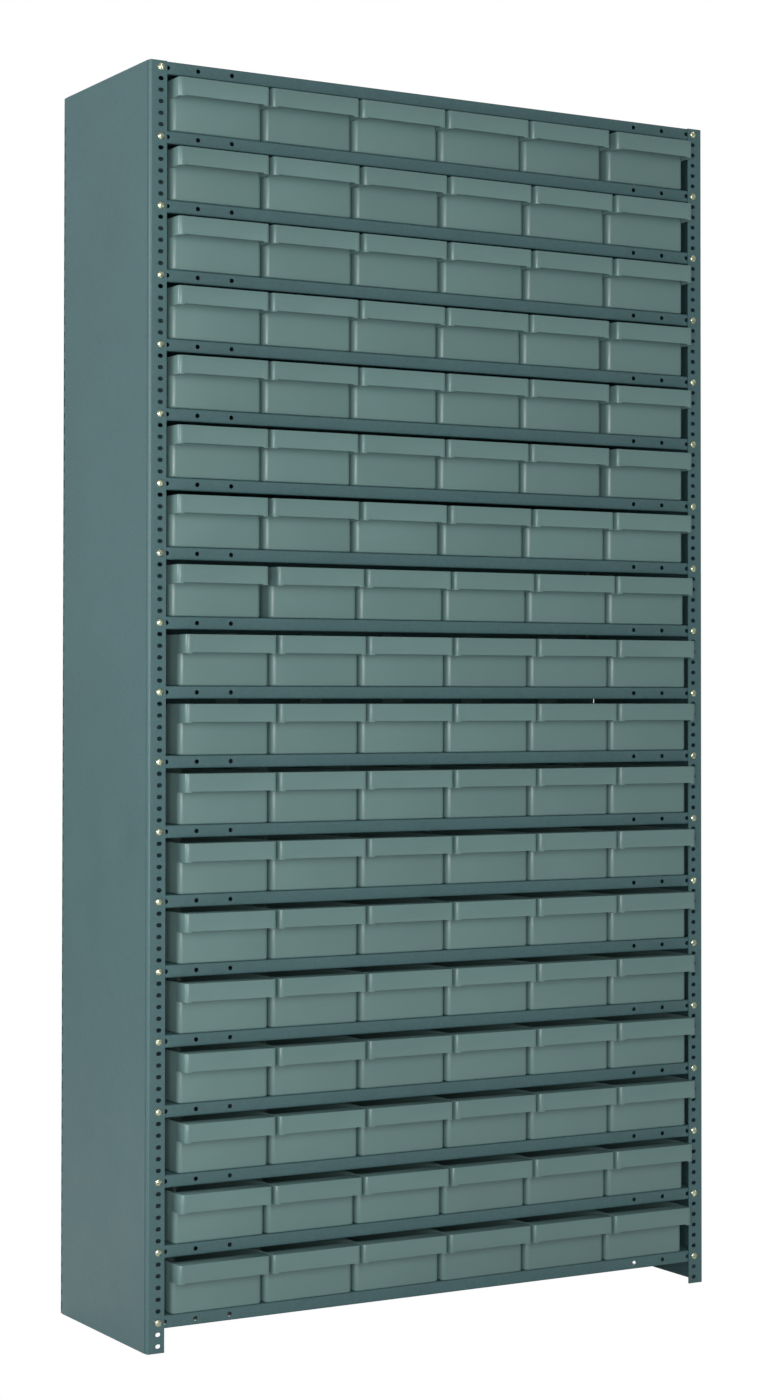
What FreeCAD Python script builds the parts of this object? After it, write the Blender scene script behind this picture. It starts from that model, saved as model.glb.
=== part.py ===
import FreeCAD, Part

import math
import os
import re

import Sketcher
from FreeCAD import Rotation, Vector

# Closed steel shelving unit: bolted shelves between four angle posts, with sheet sides and back,
# and a tier of pull-out drawers on every shelf but the top one.
# Origin: middle of the overall box, on the floor. +X is the right side, -Y the front, +Z up.

doc = FreeCAD.newDocument("ClosedShelvingUnit")
sheet = doc.addObject("Spreadsheet::Sheet", "Sizes")

drivingSizes = [
    ("unitWidth", 1010, "over the two side panels"),
    ("unitDepth", 318, "front face of the front posts to rear face of the back posts"),
    ("tierCount", 18, "tiers of drawers"),
    ("holePitch", 17.14, "height step of the slots in the posts"),
    ("holesPerTier", 6, "slot steps from one shelf to the next"),
    ("holesUnderShelf", 2, "free slots below the lowest shelf"),
    ("footHoleHeight", 10.1, "floor to the lowest slot"),
    ("postThickness", 1.9, "steel of the angle posts"),
    ("postFrontFlange", 27.6, "post flange that faces the front or the back"),
    ("postSideFlange", 38, "post flange behind the side panel"),
    ("postBendRadius", 8, "outer bend of the post"),
    ("postHoleInset", 17.6, "outer side of the post to its line of slots"),
    ("postSlotLength", 8.5, "slot, end to end"),
    ("postSlotWidth", 6.4, "slot, up and down"),
    ("sideHoleInset", 29.5, "front of the post to its line of side holes"),
    ("sideHoleDiameter", 7, "hole in the side flange"),
    ("edgeSlotPitch", 42.85, "step of the slots along the rear bend"),
    ("edgeSlotInset", 4.8, "rear face to the middle of a bend slot"),
    ("edgeSlotWidth", 4.2, "bend slot across"),
    ("longEdgeSlot", 14, "long bend slot, end to end"),
    ("shortEdgeSlot", 9, "short bend slot, end to end"),
    ("edgeSlotStart", 12, "floor to the middle of the first bend slot"),
    ("panelThickness", 0.9, "steel of the side panels"),
    ("panelRearStrip", 10, "post left bare behind the side panel"),
    ("panelNotch", 6, "notch in the rear edge of the side panel, across"),
    ("backThickness", 0.8, "steel of the back panel"),
    ("shelfThickness", 1.2, "steel of the shelves"),
    ("lipHeight", 19, "folded edge of a shelf"),
    ("shelfReturn", 8, "inward fold under the lip"),
    ("shelfBendRadius", 2.2, "outer bend of the shelf edges"),
    ("shelfCornerGap", 0.3, "shelf end to the bend of the post"),
    ("lipHoleDiameter", 7, "spare hole in the front lip"),
    ("nearHoleInset", 30.5, "unit side to the spare hole beside the post"),
    ("innerHoleInset", 80.5, "unit side to the next spare hole"),
    ("outerHoleInset", 137, "unit side to the last spare hole"),
    ("boltDiameter", 6, "shelf bolt"),
    ("boltHoleDiameter", 6.8, "bolt hole in shelf and back panel"),
    ("boltLength", 12, "under the head"),
    ("headDiameter", 11.5, "domed bolt head"),
    ("headHeight", 3.2, "bolt head above the post"),
    ("headDome", 2.6, "rounding of the bolt head"),
    ("driverSlotWidth", 1.4, "screwdriver slot across"),
    ("driverSlotDepth", 1.4, "screwdriver slot down"),
    ("nutFlats", 10, "nut across its flats"),
    ("nutHeight", 5, "nut along the bolt"),
    ("threadClearance", 0.1, "bolt to nut, all round"),
    ("drawersPerTier", 6, "drawers side by side"),
    ("drawerGap", 4.2, "between two drawers"),
    ("drawerSideRoom", 13, "outer drawer to the inner edge of the post"),
    ("drawerSeat", 0.3, "drawer above its shelf"),
    ("drawerHeadroom", 7.54, "drawer below the lip above it"),
    ("drawerRearRoom", 15.3, "drawer in front of the back panel"),
    ("drawerWall", 2.4, "moulded walls and floor"),
    ("drawerCornerRadius", 8, "upright corners of the drawer"),
    ("drawerFootRadius", 3, "lower edges of the drawer"),
    ("gripReach", 26, "grip in front of the drawer"),
    ("gripHeight", 28.3, "grip, top to the lower edge of its ends"),
    ("gripCornerRadius", 5, "upright front corners of the grip"),
    ("gripEndLength", 9, "end of the grip that reaches lower"),
    ("gripEndDrop", 1.6, "how much lower the ends reach"),
    ("stopWidth", 40, "stop at the back of the drawer"),
    ("stopHeight", 11, "stop above the drawer's rim"),
    ("upperShift", -5.5, "upper tiers stand left of the middle"),
    ("lowerShift", 8.5, "tiers below them stand right of the middle"),
    ("splitShift", 5.3, "the tier between, whose first drawer stays left"),
    ("secondShift", 2, "second tier from the floor"),
    ("firstShift", -1.5, "tier nearest the floor"),
    ("lastDrawerGap", 8.5, "extra gap before a last drawer that stands apart"),
    ("spreadGap", 1.7, "extra gap between drawers that are spread out"),
]

derivedSizes = [
    ("tierPitch", "holesPerTier * holePitch"),
    ("lowBoltHeight", "footHoleHeight + holesUnderShelf * holePitch"),
    ("holeRows", "holesUnderShelf + tierCount * holesPerTier + 1"),
    ("unitHeight", "lowBoltHeight + tierCount * tierPitch + lipHeight / 2"),
    ("frontY", "(gripReach - unitDepth - headHeight) / 2"),
    ("rearY", "frontY + unitDepth"),
    ("postOuterX", "unitWidth / 2 - panelThickness"),
    ("boltX", "postOuterX - postHoleInset"),
    ("shelfLength", "unitWidth - 2 * (panelThickness + postBendRadius + shelfCornerGap)"),
    ("shelfDepth", "unitDepth - 2 * postThickness - backThickness"),
    ("shelfTop", "lowBoltHeight + lipHeight / 2"),
    ("sidePanelDepth", "unitDepth - postBendRadius - panelRearStrip"),
    ("edgeSlotRows", "floor((unitHeight - 2 * edgeSlotStart) / edgeSlotPitch) + 1"),
    ("drawerWidth", "(unitWidth - 2 * (panelThickness + postFrontFlange + drawerSideRoom)"
                    " - (drawersPerTier - 1) * drawerGap) / drawersPerTier"),
    ("drawerLength", "unitDepth - postThickness - backThickness - drawerRearRoom"),
    ("drawerHeight", "tierPitch - lipHeight - drawerSeat - drawerHeadroom"),
    ("drawerPitch", "drawerWidth + drawerGap"),
    ("firstDrawerX", "-(drawersPerTier - 1) * drawerPitch / 2"),
]

for row, (name, value, note) in enumerate(drivingSizes, 1):
    sheet.set(f"A{row}", name)
    sheet.set(f"B{row}", str(value))
    sheet.set(f"C{row}", note)
    sheet.setAlias(f"B{row}", name)
for row, (name, formula) in enumerate(derivedSizes, len(drivingSizes) + 1):
    sheet.set(f"A{row}", name)
    sheet.set(f"B{row}", "=" + formula)
    sheet.setAlias(f"B{row}", name)
doc.recompute()

sizeNames = [entry[0] for entry in drivingSizes + derivedSizes]
sizeWord = re.compile(r"\b(" + "|".join(sizeNames) + r")\b")


def size(name):
    return float(getattr(sheet, name))


def bind(target, prop, formula):
    """Drive a property from the sheet; the formula names the sheet's sizes as plain words."""
    target.setExpression(prop, sizeWord.sub(r"Sizes.\1", formula))


def place(target, x="0", y="0", z="0"):
    bind(target, "Placement.Base.x", x)
    bind(target, "Placement.Base.y", y)
    bind(target, "Placement.Base.z", z)


# Sketches and features

START, END, MIDDLE = 1, 2, 3
ORIGIN = (-1, 1)
ACROSS, UPWARD = Vector(1, 0, 0), Vector(0, 1, 0)
SKETCH_NORMAL = Vector(0, 0, 1)


def newBody(label):
    body = doc.addObject("PartDesign::Body", label)
    body.Label = label
    return body


def originPlane(body, role):
    return [item for item in body.Origin.OriginFeatures if item.Role == role][0]


def newSketch(body, name, plane):
    sketch = body.newObject("Sketcher::SketchObject", name)
    sketch.AttachmentSupport = [(originPlane(body, plane), "")]
    sketch.MapMode = "FlatFace"
    return sketch


def constrain(sketch, name, formula, *constraint):
    index = sketch.addConstraint(Sketcher.Constraint(*constraint))
    sketch.renameConstraint(index, name)
    bind(sketch, f"Constraints.{name}", formula)


def addCircle(sketch, name, diameter, x, y):
    circle = sketch.addGeometry(Part.Circle(Vector(10, 10, 0), SKETCH_NORMAL, 3))
    constrain(sketch, name + "Diameter", diameter, "Diameter", circle, 6.0)
    constrain(sketch, name + "X", x, "DistanceX", *ORIGIN, circle, MIDDLE, 10.0)
    constrain(sketch, name + "Y", y, "DistanceY", *ORIGIN, circle, MIDDLE, 10.0)


def addSlot(sketch, name, direction, length, width, x, y):
    """Slot with round ends about the point x, y of the sketch."""
    flat = direction is ACROSS
    side = Vector(-direction.y, direction.x, 0)
    middle = Vector(20, 20, 0)
    low, high = middle - direction * 2, middle + direction * 2
    turn = 0 if flat else math.pi / 2
    lines = [
        Part.LineSegment(low - side, high - side),
        Part.ArcOfCircle(Part.Circle(high, SKETCH_NORMAL, 1), turn - math.pi / 2, turn + math.pi / 2),
        Part.LineSegment(high + side, low + side),
        Part.ArcOfCircle(Part.Circle(low, SKETCH_NORMAL, 1), turn + math.pi / 2, turn + math.pi * 1.5),
    ]
    nearSide, highEnd, farSide, lowEnd = [sketch.addGeometry(line) for line in lines]
    for first, second in ((nearSide, highEnd), (highEnd, farSide), (farSide, lowEnd), (lowEnd, nearSide)):
        sketch.addConstraint(Sketcher.Constraint("Tangent", first, END, second, START))
    sketch.addConstraint(Sketcher.Constraint("Horizontal" if flat else "Vertical", nearSide))
    sketch.addConstraint(Sketcher.Constraint("Equal", highEnd, lowEnd))
    run = f"({length} - {width})"
    constrain(sketch, name + "Radius", f"{width} / 2", "Radius", highEnd, 1.0)
    constrain(sketch, name + "Run", run, "DistanceX" if flat else "DistanceY",
              lowEnd, MIDDLE, highEnd, MIDDLE, 4.0)
    constrain(sketch, name + "X", f"{x} - {run} / 2" if flat else x,
              "DistanceX", *ORIGIN, lowEnd, MIDDLE, 18.0)
    constrain(sketch, name + "Y", y if flat else f"{y} - {run} / 2",
              "DistanceY", *ORIGIN, lowEnd, MIDDLE, 18.0)


def cutBothWays(body, name, sketch, depth):
    """Cut the sketch out of the body, as deep on both sides of its plane."""
    pocket = body.newObject("PartDesign::Pocket", name)
    pocket.Profile = sketch
    pocket.SideType = "Symmetric"
    bind(pocket, "Length", f"2 * ({depth})")
    return pocket


def repeatUp(body, name, feature, sketch, count, step):
    pattern = body.newObject("PartDesign::LinearPattern", name)
    pattern.Originals = [feature]
    pattern.Direction = (sketch, ["V_Axis"])
    bind(pattern, "Length", f"({count} - 1) * {step}")
    bind(pattern, "Occurrences", count)
    body.Tip = pattern


def addBlock(body, kind, name, corner, extent):
    """Box of a body, from its low corner; kind is Additive or Subtractive."""
    block = body.newObject(f"PartDesign::{kind}Box", name)
    for prop, formula in zip(("Length", "Width", "Height"), extent):
        bind(block, prop, formula)
    place(block, *corner)
    return block


def roundEdges(body, name, base, radius, direction, test):
    """Round the straight edges of the base that run one way and whose middle passes the test."""
    doc.recompute()
    chosen = []
    for index, edge in enumerate(base.Shape.Edges, 1):
        if not isinstance(edge.Curve, Part.Line):
            continue
        alongIt = abs(edge.Curve.Direction.dot(direction)) > 0.999
        if alongIt and test(edge.CenterOfMass):
            chosen.append(f"Edge{index}")
    fillet = body.newObject("PartDesign::Fillet", name)
    fillet.Base = (base, chosen)
    bind(fillet, "Radius", radius)
    return fillet


X_WAY, Y_WAY, Z_WAY = Vector(1, 0, 0), Vector(0, 1, 0), Vector(0, 0, 1)


# Angle post, from its outer corner: +X along the flange that carries the shelf bolts,
# +Y along the flange behind the side panel
def anglePost(label):
    body = newBody(label)
    section = newSketch(body, label + "_section", "XY_Plane")
    thick, front, side, bend = (size("postThickness"), size("postFrontFlange"),
                                size("postSideFlange"), size("postBendRadius"))
    centre = Vector(bend, bend, 0)
    outerSide, outerArc, outerFront, endFront, innerFront, innerArc, innerSide, endSide = [
        section.addGeometry(line) for line in (
            Part.LineSegment(Vector(0, side, 0), Vector(0, bend, 0)),
            Part.ArcOfCircle(Part.Circle(centre, SKETCH_NORMAL, bend), math.pi, math.pi * 1.5),
            Part.LineSegment(Vector(bend, 0, 0), Vector(front, 0, 0)),
            Part.LineSegment(Vector(front, 0, 0), Vector(front, thick, 0)),
            Part.LineSegment(Vector(front, thick, 0), Vector(bend, thick, 0)),
            Part.ArcOfCircle(Part.Circle(centre, SKETCH_NORMAL, bend - thick), math.pi, math.pi * 1.5),
            Part.LineSegment(Vector(thick, bend, 0), Vector(thick, side, 0)),
            Part.LineSegment(Vector(thick, side, 0), Vector(0, side, 0)),
        )]
    for first, firstEnd, second, secondEnd in (
            (outerSide, END, outerArc, START), (outerArc, END, outerFront, START),
            (innerFront, END, innerArc, END), (innerArc, START, innerSide, START)):
        section.addConstraint(Sketcher.Constraint("Tangent", first, firstEnd, second, secondEnd))
    for first, second in ((outerFront, endFront), (endFront, innerFront),
                          (innerSide, endSide), (endSide, outerSide)):
        section.addConstraint(Sketcher.Constraint("Coincident", first, END, second, START))
    for line in (outerSide, innerSide, endFront):
        section.addConstraint(Sketcher.Constraint("Vertical", line))
    for line in (outerFront, innerFront, endSide):
        section.addConstraint(Sketcher.Constraint("Horizontal", line))
    section.addConstraint(Sketcher.Constraint("Coincident", outerArc, MIDDLE, innerArc, MIDDLE))
    section.addConstraint(Sketcher.Constraint("PointOnObject", outerSide, START, -2))
    section.addConstraint(Sketcher.Constraint("PointOnObject", outerFront, END, -1))
    constrain(section, "bend", "postBendRadius", "Radius", outerArc, bend)
    constrain(section, "innerBend", "postBendRadius - postThickness", "Radius", innerArc, bend - thick)
    constrain(section, "front", "postFrontFlange", "DistanceX", *ORIGIN, outerFront, END, front)
    constrain(section, "side", "postSideFlange", "DistanceY", *ORIGIN, outerSide, START, side)
    bar = body.newObject("PartDesign::Pad", label + "_bar")
    bar.Profile = section
    bind(bar, "Length", "unitHeight")

    slot = newSketch(body, label + "_slot", "XZ_Plane")
    addSlot(slot, "slot", ACROSS, "postSlotLength", "postSlotWidth", "postHoleInset", "footHoleHeight")
    slotCut = cutBothWays(body, label + "_slot_cut", slot, "2 * postThickness")
    repeatUp(body, label + "_slots", slotCut, slot, "holeRows", "holePitch")

    hole = newSketch(body, label + "_side_hole", "YZ_Plane")
    addCircle(hole, "hole", "sideHoleDiameter", "sideHoleInset", "footHoleHeight")
    holeCut = cutBothWays(body, label + "_side_hole_cut", hole, "2 * postThickness")
    repeatUp(body, label + "_side_holes", holeCut, hole, "holeRows", "holePitch")
    return body


# The back posts also have long and short slots by turns along their bend
def cutBendSlots(body):
    for kind, length, start, count in (
            ("long", "longEdgeSlot", "edgeSlotStart", "edgeSlotRows"),
            ("short", "shortEdgeSlot", "(edgeSlotStart + edgeSlotPitch / 2)", "(edgeSlotRows - 1)")):
        sketch = newSketch(body, f"{kind}_bend_slot", "YZ_Plane")
        addSlot(sketch, "slot", UPWARD, length, "edgeSlotWidth", "edgeSlotInset", start)
        cut = cutBothWays(body, f"{kind}_bend_slot_cut", sketch, "postBendRadius")
        repeatUp(body, f"{kind}_bend_slots", cut, sketch, count, "edgeSlotPitch")


def mirrorOf(source, label):
    piece = doc.addObject("Part::Mirroring", label)
    piece.Label = label
    piece.Source = source
    piece.Normal = X_WAY
    return piece


frontLeftPost = anglePost("front_left_post")
place(frontLeftPost, "-postOuterX", "frontY")
backRightPost = anglePost("back_right_post")
cutBendSlots(backRightPost)
backRightPost.Placement.Rotation = Rotation(Z_WAY, 180)
place(backRightPost, "postOuterX", "rearY")
frontRightPost = mirrorOf(frontLeftPost, "front_right_post")
backLeftPost = mirrorOf(backRightPost, "back_left_post")


# Side panel: flat sheet over the side flanges, from the front bend to a bare strip at the rear,
# with small notches in its rear edge
leftSidePanel = newBody("left_side_panel")
addBlock(leftSidePanel, "Additive", "side_sheet", ("0", "0", "0"),
         ("panelThickness", "sidePanelDepth", "unitHeight"))
notch = newSketch(leftSidePanel, "side_notch", "YZ_Plane")
addCircle(notch, "notch", "panelNotch", "sidePanelDepth", "edgeSlotStart + edgeSlotPitch / 2")
notchCut = cutBothWays(leftSidePanel, "side_notch_cut", notch, "2 * panelThickness")
repeatUp(leftSidePanel, "side_notches", notchCut, notch, "(edgeSlotRows - 1)", "edgeSlotPitch")
place(leftSidePanel, "-unitWidth / 2", "frontY + postBendRadius")
rightSidePanel = mirrorOf(leftSidePanel, "right_side_panel")


# Back panel: flat sheet between the back posts and the rear lips of the shelves
backPanel = newBody("back_panel")
addBlock(backPanel, "Additive", "back_sheet", ("-shelfLength / 2", "0", "0"),
         ("shelfLength", "backThickness", "unitHeight - lowBoltHeight + lipHeight / 2"))
backHoles = newSketch(backPanel, "back_bolt_holes", "XZ_Plane")
addCircle(backHoles, "left", "boltHoleDiameter", "-boltX", "lipHeight / 2")
addCircle(backHoles, "right", "boltHoleDiameter", "boltX", "lipHeight / 2")
backCut = cutBothWays(backPanel, "back_bolt_cut", backHoles, "2 * backThickness")
repeatUp(backPanel, "back_bolt_rows", backCut, backHoles, "(tierCount + 1)", "tierPitch")
place(backPanel, "0", "rearY - postThickness - backThickness", "lowBoltHeight - lipHeight / 2")


# Shelf, from the middle of its front lip at the top surface: the lips fold down all round,
# and the front and rear ones fold inward again
shelf = newBody("shelf_pattern")
shelfBlock = addBlock(shelf, "Additive", "shelf_block", ("-shelfLength / 2", "0", "-lipHeight"),
                      ("shelfLength", "shelfDepth", "lipHeight"))
roundEdges(shelf, "outer_bends", shelfBlock, "shelfBendRadius", X_WAY, lambda middle: True)
shelfHollow = addBlock(
    shelf, "Subtractive", "shelf_hollow",
    ("shelfThickness - shelfLength / 2", "shelfThickness", "shelfThickness - lipHeight"),
    ("shelfLength - 2 * shelfThickness", "shelfDepth - 2 * shelfThickness",
     "lipHeight - 2 * shelfThickness"))
hollowDepth = size("shelfThickness"), size("shelfDepth") - size("shelfThickness")
roundEdges(
    shelf, "inner_bends", shelfHollow, "shelfBendRadius - shelfThickness", X_WAY,
    lambda middle: min(abs(middle.y - y) for y in hollowDepth) < 0.001)
addBlock(shelf, "Subtractive", "shelf_mouth",
         ("shelfThickness - shelfLength / 2", "shelfReturn", "shelfThickness - 2 * lipHeight"),
         ("shelfLength - 2 * shelfThickness", "shelfDepth - 2 * shelfReturn", "lipHeight"))
boltHole = newSketch(shelf, "shelf_bolt_hole", "XZ_Plane")
addCircle(boltHole, "bolt", "boltHoleDiameter", "-boltX", "-lipHeight / 2")
boltCut = cutBothWays(shelf, "shelf_bolt_cut", boltHole, "2 * shelfDepth")
spareHoles = newSketch(shelf, "shelf_spare_holes", "XZ_Plane")
for name in ("near", "inner", "outer"):
    addCircle(spareHoles, name, "lipHoleDiameter", f"{name}HoleInset - unitWidth / 2", "-lipHeight / 2")
spareCut = cutBothWays(shelf, "shelf_spare_cut", spareHoles, "2 * shelfThickness")
otherEnd = shelf.newObject("PartDesign::Mirrored", "shelf_other_end")
otherEnd.Originals = [boltCut, spareCut]
otherEnd.MirrorPlane = (originPlane(shelf, "YZ_Plane"), [""])
shelf.Tip = otherEnd


# Drawer, from the middle of its front at the floor: a moulded tray, a hollow grip along the top
# of its front that is open underneath, and a stop that stands up at the back
drawer = newBody("drawer_pattern")
drawerBlock = addBlock(drawer, "Additive", "drawer_block", ("-drawerWidth / 2", "0", "0"),
                       ("drawerWidth", "drawerLength", "drawerHeight"))
drawerCorners = roundEdges(drawer, "drawer_corners", drawerBlock, "drawerCornerRadius", Z_WAY,
                           lambda middle: True)
drawerFoot = roundEdges(drawer, "drawer_foot", drawerCorners, "drawerFootRadius", X_WAY,
                        lambda middle: abs(middle.z) < 0.001 and abs(middle.y) < 0.001)
doc.recompute()
openTop = [f"Face{index}" for index, face in enumerate(drawerFoot.Shape.Faces, 1)
           if abs(face.CenterOfMass.z - size("drawerHeight")) < 0.001]
tray = drawer.newObject("PartDesign::Thickness", "drawer_tray")
tray.Base = (drawerFoot, openTop)
bind(tray, "Value", "drawerWall")
tray.Reversed = True
gripBlock = addBlock(drawer, "Additive", "grip_block",
                     ("-drawerWidth / 2", "-gripReach", "drawerHeight - gripHeight"),
                     ("drawerWidth", "gripReach + drawerWall", "gripHeight"))
gripFront = size("gripReach")
roundEdges(drawer, "grip_corners", gripBlock, "gripCornerRadius", Z_WAY,
           lambda middle: abs(middle.y + gripFront) < 0.001)
gripHollow = addBlock(
    drawer, "Subtractive", "grip_hollow",
    ("drawerWall - drawerWidth / 2", "drawerWall - gripReach", "drawerHeight - gripHeight - drawerWall"),
    ("drawerWidth - 2 * drawerWall", "gripReach - drawerWall", "gripHeight"))
hollowFront = size("gripReach") - size("drawerWall")
roundEdges(drawer, "grip_inner_corners", gripHollow, "gripCornerRadius - drawerWall", Z_WAY,
           lambda middle: abs(middle.y + hollowFront) < 0.001)
addBlock(drawer, "Subtractive", "grip_lower_edge",
         ("gripEndLength - drawerWidth / 2", "-gripReach - drawerWall", "drawerHeight - gripHeight"),
         ("drawerWidth - 2 * gripEndLength", "3 * drawerWall", "gripEndDrop"))
addBlock(drawer, "Additive", "drawer_stop",
         ("-stopWidth / 2", "drawerLength - drawerWall", "drawerHeight - drawerWall"),
         ("stopWidth", "drawerWall", "stopHeight + drawerWall"))


# Bolt with a domed slotted head, head up, from the underside of its head
bolt = newBody("bolt_pattern")
head = bolt.newObject("PartDesign::AdditiveCylinder", "bolt_head")
bind(head, "Radius", "headDiameter / 2")
bind(head, "Height", "headHeight")
doc.recompute()
dome = bolt.newObject("PartDesign::Fillet", "bolt_dome")
dome.Base = (head, [f"Edge{index}" for index, edge in enumerate(head.Shape.Edges, 1)
                    if len(edge.Vertexes) == 1 and edge.CenterOfMass.z > 0.001])
bind(dome, "Radius", "headDome")
shank = bolt.newObject("PartDesign::AdditiveCylinder", "bolt_shank")
bind(shank, "Radius", "boltDiameter / 2")
bind(shank, "Height", "boltLength")
place(shank, z="-boltLength")
addBlock(bolt, "Subtractive", "driver_slot",
         ("-headDiameter", "-driverSlotWidth / 2", "headHeight - driverSlotDepth"),
         ("2 * headDiameter", "driverSlotWidth", "headHeight"))

# Hexagon nut, up from its seat
nut = newBody("nut_pattern")
hexagon = nut.newObject("PartDesign::AdditivePrism", "nut_hexagon")
hexagon.Polygon = 6
bind(hexagon, "Circumradius", "nutFlats / sqrt(3)")
bind(hexagon, "Height", "nutHeight")
bore = nut.newObject("PartDesign::SubtractiveCylinder", "nut_bore")
bind(bore, "Radius", "boltDiameter / 2 + threadClearance")
bind(bore, "Height", "2 * nutHeight")
place(bore, z="-nutHeight / 2")


# The pieces that repeat are placed copies of their patterns
def copyOf(source, label, x, y, z, turn=None):
    copy = doc.addObject("Part::Compound", label)
    copy.Label = label
    copy.Links = [source]
    if turn:
        copy.Placement.Rotation = turn
    place(copy, x, y, z)
    return copy


def groupOf(pieces, label, x="0", y="0", z="0"):
    group = doc.addObject("Part::Compound", label)
    group.Label = label
    group.Links = pieces
    place(group, x, y, z)
    return group


tiers = int(size("tierCount"))
columns = int(size("drawersPerTier"))

shelfY = "frontY + postThickness"
bottomShelf = copyOf(shelf, "bottom_shelf", "0", shelfY, "shelfTop")
topShelf = copyOf(shelf, "top_shelf", "0", shelfY, "shelfTop + tierCount * tierPitch")
middleShelves = groupOf(
    [copyOf(shelf, f"shelf_{level}", "0", "0", f"{level} * tierPitch") for level in range(1, tiers)],
    "middle_shelves", "0", shelfY, "shelfTop")

# A bolt goes through each end of each shelf at the front and at the back, its head outside.
# The driver slots stop at odd angles
slotTurnStep = 137.5
headToFront = Rotation(X_WAY, 90)
headToBack = Rotation(Z_WAY, 180) * headToFront
frontNutY = "frontY + postThickness + shelfThickness"
backNutY = "rearY - postThickness - backThickness - shelfThickness"
bolts = []
nuts = []
for level in range(tiers + 1):
    for x in ("-boltX", "boltX"):
        for face, boltY, nutY, headTurn, nutTurn in (
                ("front", "frontY", frontNutY, headToFront, headToBack),
                ("back", "rearY", backNutY, headToBack, headToFront)):
            spot = len(bolts)
            boltZ = f"{level} * tierPitch"
            turn = headTurn * Rotation(Z_WAY, spot * slotTurnStep)
            bolts.append(copyOf(bolt, f"bolt_{face}_{spot}", x, boltY, boltZ, turn))
            nuts.append(copyOf(nut, f"nut_{face}_{spot}", x, nutY, boltZ, nutTurn))
shelfBolts = groupOf(bolts, "shelf_bolts", z="lowBoltHeight")
shelfNuts = groupOf(nuts, "shelf_nuts", z="lowBoltHeight")

# The drawers stand side by side, each tier pushed a little to one side as they were left.
# The tiers at hand height have a node for each drawer
splitTier = 11
spreadTiers = (12, 16, 17)
singleTiers = range(6, 12)


def drawerX(tier, column):
    place = f"firstDrawerX + {column} * drawerPitch"
    if tier > splitTier:
        if tier in spreadTiers:
            return f"{place} + upperShift + {column} * spreadGap"
        return f"{place} + upperShift" + (" + lastDrawerGap" if column == columns - 1 else "")
    if tier == splitTier:
        return f"{place} + " + ("upperShift" if column == 0 else "splitShift")
    return f"{place} + " + {1: "firstShift", 2: "secondShift"}.get(tier, "lowerShift")


drawerNodes = []
for tier in range(1, tiers + 1):
    tierZ = f"shelfTop + drawerSeat + {tier - 1} * tierPitch"
    if tier in singleTiers:
        drawerNodes += [
            copyOf(drawer, f"drawer_tier{tier:02d}_col{column + 1}", drawerX(tier, column), "frontY", tierZ)
            for column in range(columns)]
    else:
        drawerNodes.append(groupOf(
            [copyOf(drawer, f"tray_tier{tier:02d}_col{column + 1}", drawerX(tier, column), "0", "0")
             for column in range(columns)],
            f"drawers_tier{tier:02d}", "0", "frontY", tierZ))

doc.recompute()

nodes = [frontLeftPost, frontRightPost, backLeftPost, backRightPost, leftSidePanel, rightSidePanel,
         backPanel, bottomShelf, middleShelves, topShelf, shelfBolts, shelfNuts] + drawerNodes

for item in doc.Objects:
    if "Invalid" in item.State or "Error" in item.State:
        raise RuntimeError(f"{item.Label} failed: {item.State}")
for node in nodes:
    if node.Shape.isNull() or not node.Shape.isValid():
        raise RuntimeError(f"{node.Label} has no valid shape")

travel = (size("drawerLength") - size("drawerWall")) - (size("postThickness") + size("shelfReturn"))
print(f"drawer {size('drawerWidth'):.2f} x {size('drawerLength'):.2f} x {size('drawerHeight'):.2f},"
      f" stop meets the lip after {travel:.2f}")

os.makedirs("parts", exist_ok=True)
for node in nodes:
    node.Shape.exportStep(f"parts/{node.Label}.step")
    print(node.Label, len(node.Shape.Solids), f"{node.Shape.Volume:.1f}")
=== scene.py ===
import math
import bmesh
import bpy
from mathutils import Matrix, Vector


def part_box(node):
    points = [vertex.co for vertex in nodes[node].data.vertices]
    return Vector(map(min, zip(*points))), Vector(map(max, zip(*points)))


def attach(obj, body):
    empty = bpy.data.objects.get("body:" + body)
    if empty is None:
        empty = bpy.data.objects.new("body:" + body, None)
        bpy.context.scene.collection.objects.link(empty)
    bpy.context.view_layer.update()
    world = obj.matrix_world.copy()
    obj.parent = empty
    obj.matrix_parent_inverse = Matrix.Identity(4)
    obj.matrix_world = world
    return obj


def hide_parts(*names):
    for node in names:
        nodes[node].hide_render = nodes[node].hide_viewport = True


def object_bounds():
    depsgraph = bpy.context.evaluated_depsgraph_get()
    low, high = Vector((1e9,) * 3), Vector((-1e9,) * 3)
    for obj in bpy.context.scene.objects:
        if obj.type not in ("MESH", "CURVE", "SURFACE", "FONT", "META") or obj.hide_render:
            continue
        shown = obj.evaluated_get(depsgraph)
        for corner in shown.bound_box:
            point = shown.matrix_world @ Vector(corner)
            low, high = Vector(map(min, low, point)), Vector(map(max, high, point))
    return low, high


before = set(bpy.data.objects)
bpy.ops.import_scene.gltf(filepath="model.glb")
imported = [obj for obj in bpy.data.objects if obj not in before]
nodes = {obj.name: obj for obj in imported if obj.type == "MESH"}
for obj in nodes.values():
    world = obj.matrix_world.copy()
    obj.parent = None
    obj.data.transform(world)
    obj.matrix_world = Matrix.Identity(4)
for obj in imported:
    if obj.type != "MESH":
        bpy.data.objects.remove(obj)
cadLow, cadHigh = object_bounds()
mm = 0.001
print("frame loaded:", len(nodes), "nodes")


# Camera and lamps

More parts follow.
